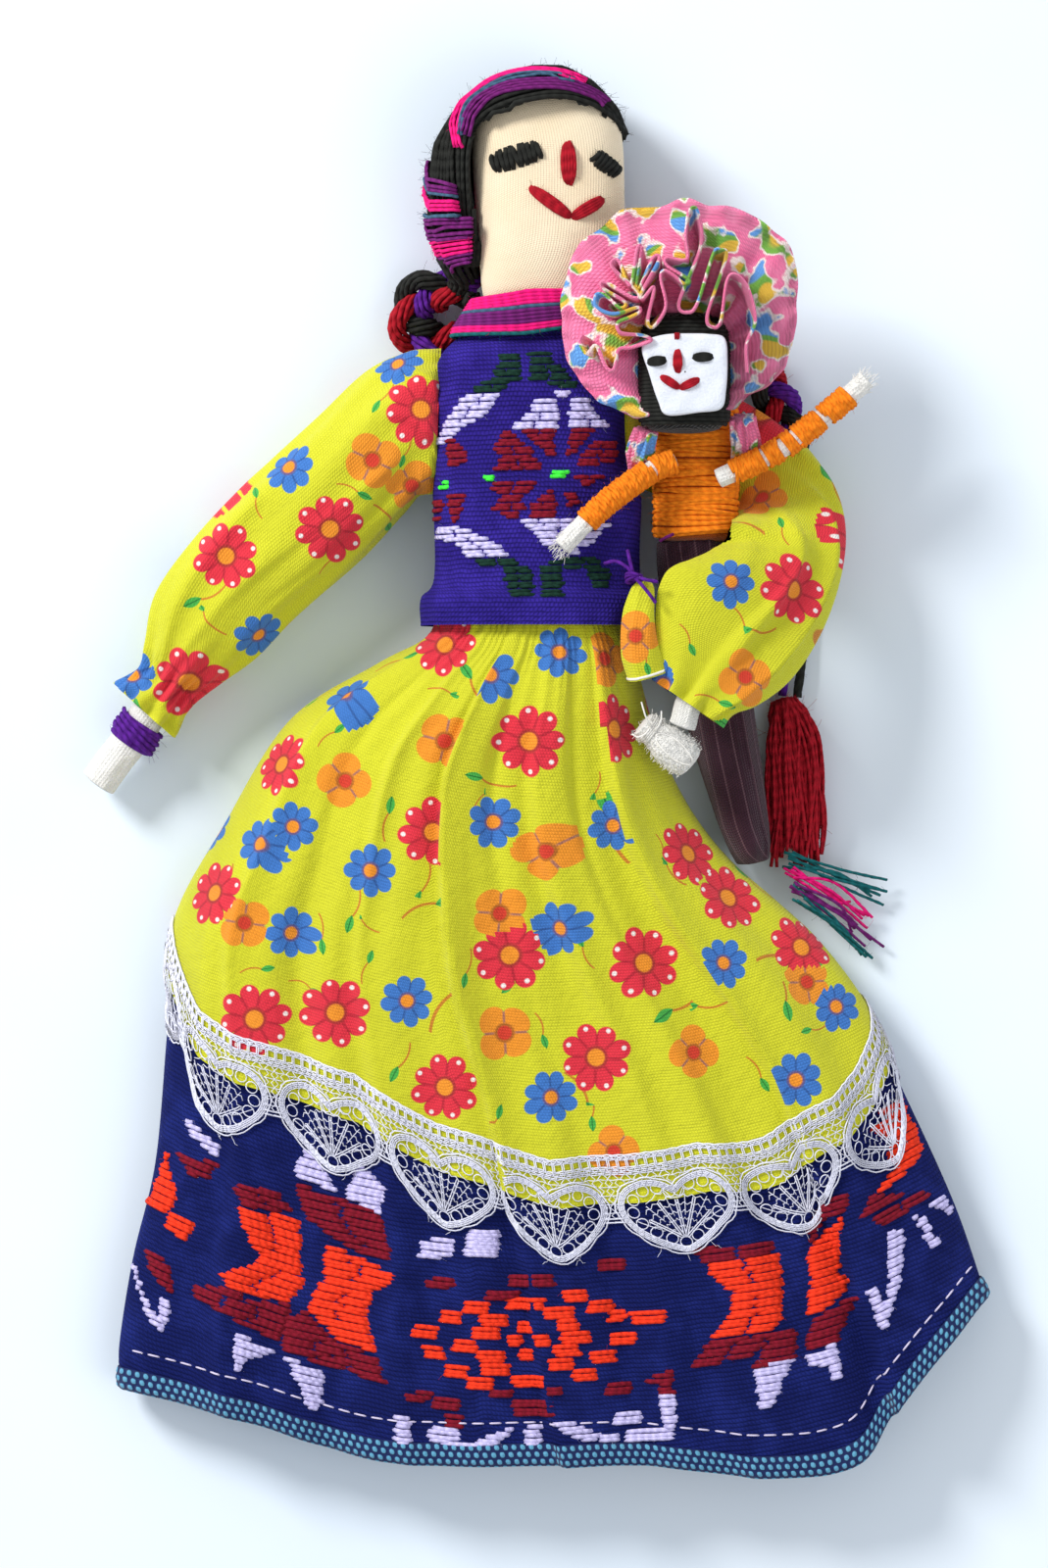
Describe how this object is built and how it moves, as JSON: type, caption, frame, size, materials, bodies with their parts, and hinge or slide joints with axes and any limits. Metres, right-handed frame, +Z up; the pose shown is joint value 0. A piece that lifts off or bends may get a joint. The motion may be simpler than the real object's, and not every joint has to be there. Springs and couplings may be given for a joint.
{
  "type": "rag doll holding a baby doll",
  "caption": "Cloth doll in a printed overskirt, brocaded underskirt and yarn plaits, holding a small baby doll in a frilled bonnet.",
  "frame": {"origin": "on the flat of the blouse's back, which lies on the ground, 12 mm above the blouse's lower edge and midway across it", "axes": "+Y along the doll towards the head, +X towards the doll's left arm and the baby, +Z up from the ground towards the face"},
  "size_m": [0.1849, 0.2866, 0.0386],
  "materials": {
    "black_wool": "black wool yarn, laid side by side",
    "blouse_wool": "handwoven wool with a brocaded geometric pattern on a blue-purple ground",
    "face_cloth": "cream cotton cloth stretched over stuffing",
    "magenta_yarn": "bright magenta wool yarn",
    "maroon_cloth": "dark maroon woven cloth with thin pale stripes",
    "muslin": "undyed cotton cloth, rolled and stitched",
    "navy_wool": "handwoven navy wool with brocaded figures in orange-red, lilac and dark red",
    "orange_yarn": "orange wool yarn, wound round",
    "pink_print": "pink printed cotton, gathered",
    "purple_yarn": "dark purple wool yarn",
    "red_yarn": "red wool yarn",
    "teal_binding": "woven edging with rows of pale blue dots on dark blue",
    "teal_yarn": "dark teal wool yarn",
    "white_lace": "white scalloped cotton lace",
    "white_thread": "white cotton thread and cloth",
    "yellow_print": "yellow cotton printed all over with small red, blue and orange flowers and green leaves"
  },
  "bodies": {
    "root": {"baby_face": "white_thread", "baby_hair": "black_wool", "baby_left_arm_roll": "white_thread", "baby_left_arm_yarn": "orange_yarn", "baby_left_eye": "black_wool", "baby_mouth_left": "red_yarn", "baby_mouth_right": "red_yarn", "baby_nose": "red_yarn", "baby_right_arm_roll": "white_thread", "baby_right_arm_yarn": "orange_yarn", "baby_right_eye": "black_wool", "baby_skirt": "maroon_cloth", "baby_torso": "orange_yarn", "blouse": "blouse_wool", "bonnet_brim": "pink_print", "bonnet_ruffle": "pink_print", "bonnet_tie_left": "pink_print", "bonnet_tie_right": "pink_print", "collar": "magenta_yarn", "cuff_fold": "yellow_print", "cuff_knot": "purple_yarn", "hair": "black_wool", "hair_ribbon_magenta": "magenta_yarn", "hair_ribbon_purple": "purple_yarn", "hair_ribbon_teal": "teal_yarn", "head": "face_cloth", "hem_binding": "teal_binding", "lace_trim": "white_lace", "left_arm": "muslin", "left_eye": "black_wool", "left_hand": "white_thread", "left_leg": "muslin", "left_plait_black": "black_wool", "left_plait_purple": "purple_yarn", "left_plait_red": "red_yarn", "left_sleeve": "yellow_print", "left_wrist_thread": "white_thread", "mouth_left": "red_yarn", "mouth_right": "red_yarn", "nose": "red_yarn", "overskirt": "yellow_print", "red_tassel": "red_yarn", "right_arm": "muslin", "right_eye": "black_wool", "right_leg": "muslin", "right_plait_black": "black_wool", "right_plait_purple": "purple_yarn", "right_plait_red": "red_yarn", "right_sleeve": "yellow_print", "right_wrist_yarn": "purple_yarn", "side_turn_magenta_lower": "magenta_yarn", "side_turn_magenta_upper": "magenta_yarn", "side_turn_purple": "purple_yarn", "tassel_strand_1_teal": "teal_yarn", "tassel_strand_2_magenta": "magenta_yarn", "tassel_strand_3_purple": "purple_yarn", "tassel_strand_4_teal": "teal_yarn", "torso_core": "muslin", "underskirt": "navy_wool"}
  },
  "joints": []
}
